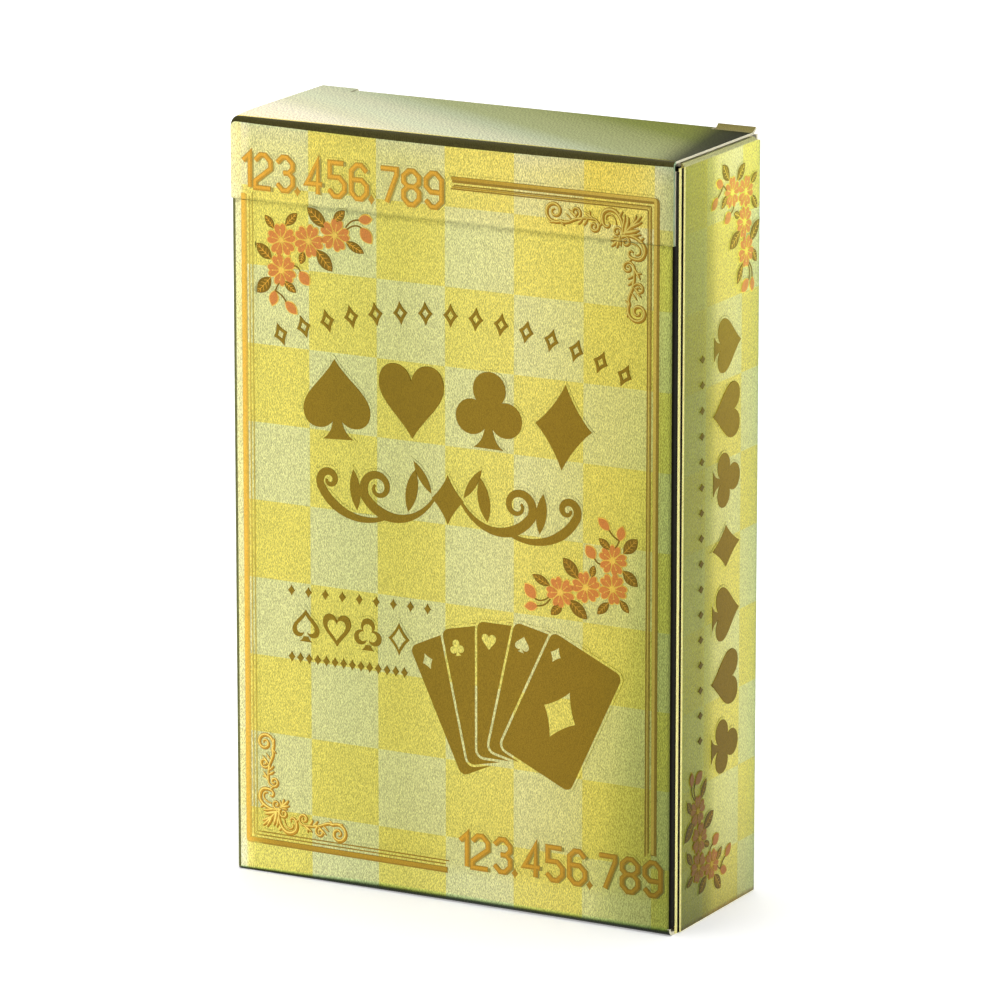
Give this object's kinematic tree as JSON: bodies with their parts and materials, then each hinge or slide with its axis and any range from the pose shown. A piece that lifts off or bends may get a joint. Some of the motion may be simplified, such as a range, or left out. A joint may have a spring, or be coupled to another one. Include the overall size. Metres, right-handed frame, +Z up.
{
  "type": "playing card deck",
  "caption": "Upright gold foil board carton with a flip lid hinged on a crease in its front, dust flaps under the lid, and playing cards standing inside.",
  "frame": {"origin": "middle of the carton's footprint, on the surface that it stands on", "axes": "+Z up along the carton's height, +Y to the back panel with the thumb notch, +X to the glued right side"},
  "size_m": [0.06, 0.0224, 0.095],
  "materials": {
    "gold_foil_board": "metallic gold foil with a fine grain",
    "gold_foil_lid": "metallic gold foil with a fine grain",
    "plain_board": "uncoated board",
    "card_stock_black_suits": "coated card",
    "card_stock_red_suits": "coated card"
  },
  "bodies": {
    "carton": {"front_panel": "gold_foil_board", "left_side_panel": "gold_foil_board", "back_panel": "gold_foil_board", "right_side_panel": "gold_foil_board", "right_glue_flap": "plain_board", "bottom_panel": "gold_foil_board", "bottom_glue_tab": "plain_board", "bottom_left_dust_flap": "plain_board", "bottom_right_dust_flap": "plain_board"},
    "lid_strip": {"lid_front_strip": "gold_foil_lid"},
    "lid_top": {"lid_top_panel": "gold_foil_lid"},
    "tuck": {"lid_tuck_flap": "gold_foil_lid"},
    "left_dust": {"left_dust_flap": "plain_board"},
    "right_dust": {"right_dust_flap": "plain_board"},
    "deck": {"black_joker": "card_stock_black_suits", "ace_of_spades": "card_stock_black_suits", "two_of_spades": "card_stock_black_suits", "three_of_spades": "card_stock_black_suits", "four_of_spades": "card_stock_black_suits", "five_of_spades": "card_stock_black_suits", "six_of_spades": "card_stock_black_suits", "seven_of_spades": "card_stock_black_suits", "eight_of_spades": "card_stock_black_suits", "nine_of_spades": "card_stock_black_suits", "ten_of_spades": "card_stock_black_suits", "court_cards_of_spades": "card_stock_black_suits", "ace_of_diamonds": "card_stock_red_suits", "two_of_diamonds": "card_stock_red_suits", "three_of_diamonds": "card_stock_red_suits", "four_of_diamonds": "card_stock_red_suits", "five_of_diamonds": "card_stock_red_suits", "six_of_diamonds": "card_stock_red_suits", "seven_of_diamonds": "card_stock_red_suits", "eight_of_diamonds": "card_stock_red_suits", "nine_of_diamonds": "card_stock_red_suits", "ten_of_diamonds": "card_stock_red_suits", "court_cards_of_diamonds": "card_stock_red_suits", "court_cards_of_clubs": "card_stock_black_suits", "ten_of_clubs": "card_stock_black_suits", "nine_of_clubs": "card_stock_black_suits", "eight_of_clubs": "card_stock_black_suits", "seven_of_clubs": "card_stock_black_suits", "six_of_clubs": "card_stock_black_suits", "five_of_clubs": "card_stock_black_suits", "four_of_clubs": "card_stock_black_suits", "three_of_clubs": "card_stock_black_suits", "two_of_clubs": "card_stock_black_suits", "ace_of_clubs": "card_stock_black_suits", "court_cards_of_hearts": "card_stock_red_suits", "ten_of_hearts": "card_stock_red_suits", "nine_of_hearts": "card_stock_red_suits", "eight_of_hearts": "card_stock_red_suits", "seven_of_hearts": "card_stock_red_suits", "six_of_hearts": "card_stock_red_suits", "five_of_hearts": "card_stock_red_suits", "four_of_hearts": "card_stock_red_suits", "three_of_hearts": "card_stock_red_suits", "two_of_hearts": "card_stock_red_suits", "ace_of_hearts": "card_stock_red_suits", "red_joker": "card_stock_red_suits"}
  },
  "joints": [
    {"name": "lid_crease", "type": "hinge", "parent": "carton", "child": "lid_strip", "pos_m": [0, -0.0112, 0.0838], "axis": [1, 0, 0], "range_deg": [0, 120]},
    {"name": "top_crease", "type": "hinge", "parent": "lid_strip", "child": "lid_top", "pos_m": [0, -0.0106, 0.0938], "axis": [1, 0, 0], "range_deg": [0, 60]},
    {"name": "tuck_crease", "type": "hinge", "parent": "lid_top", "child": "tuck", "pos_m": [0, 0.01025, 0.0932], "axis": [1, 0, 0], "range_deg": [-60, 0]},
    {"name": "left_dust_crease", "type": "hinge", "parent": "carton", "child": "left_dust", "pos_m": [-0.0294, 0, 0.0933], "axis": [0, -1, 0], "range_deg": [0, 60]},
    {"name": "right_dust_crease", "type": "hinge", "parent": "carton", "child": "right_dust", "pos_m": [0.0294, 0, 0.0933], "axis": [0, 1, 0], "range_deg": [0, 60]},
    {"name": "deck_lift", "type": "slide", "parent": "carton", "child": "deck", "axis": [0, 0, 1], "range_m": [0, 0.0026]}
  ],
  "couplings": [
    {"joint": "tuck_crease", "follows": "top_crease", "ratio": -1},
    {"joint": "left_dust_crease", "follows": "lid_crease", "ratio": 0.5},
    {"joint": "right_dust_crease", "follows": "lid_crease", "ratio": 0.5}
  ]
}
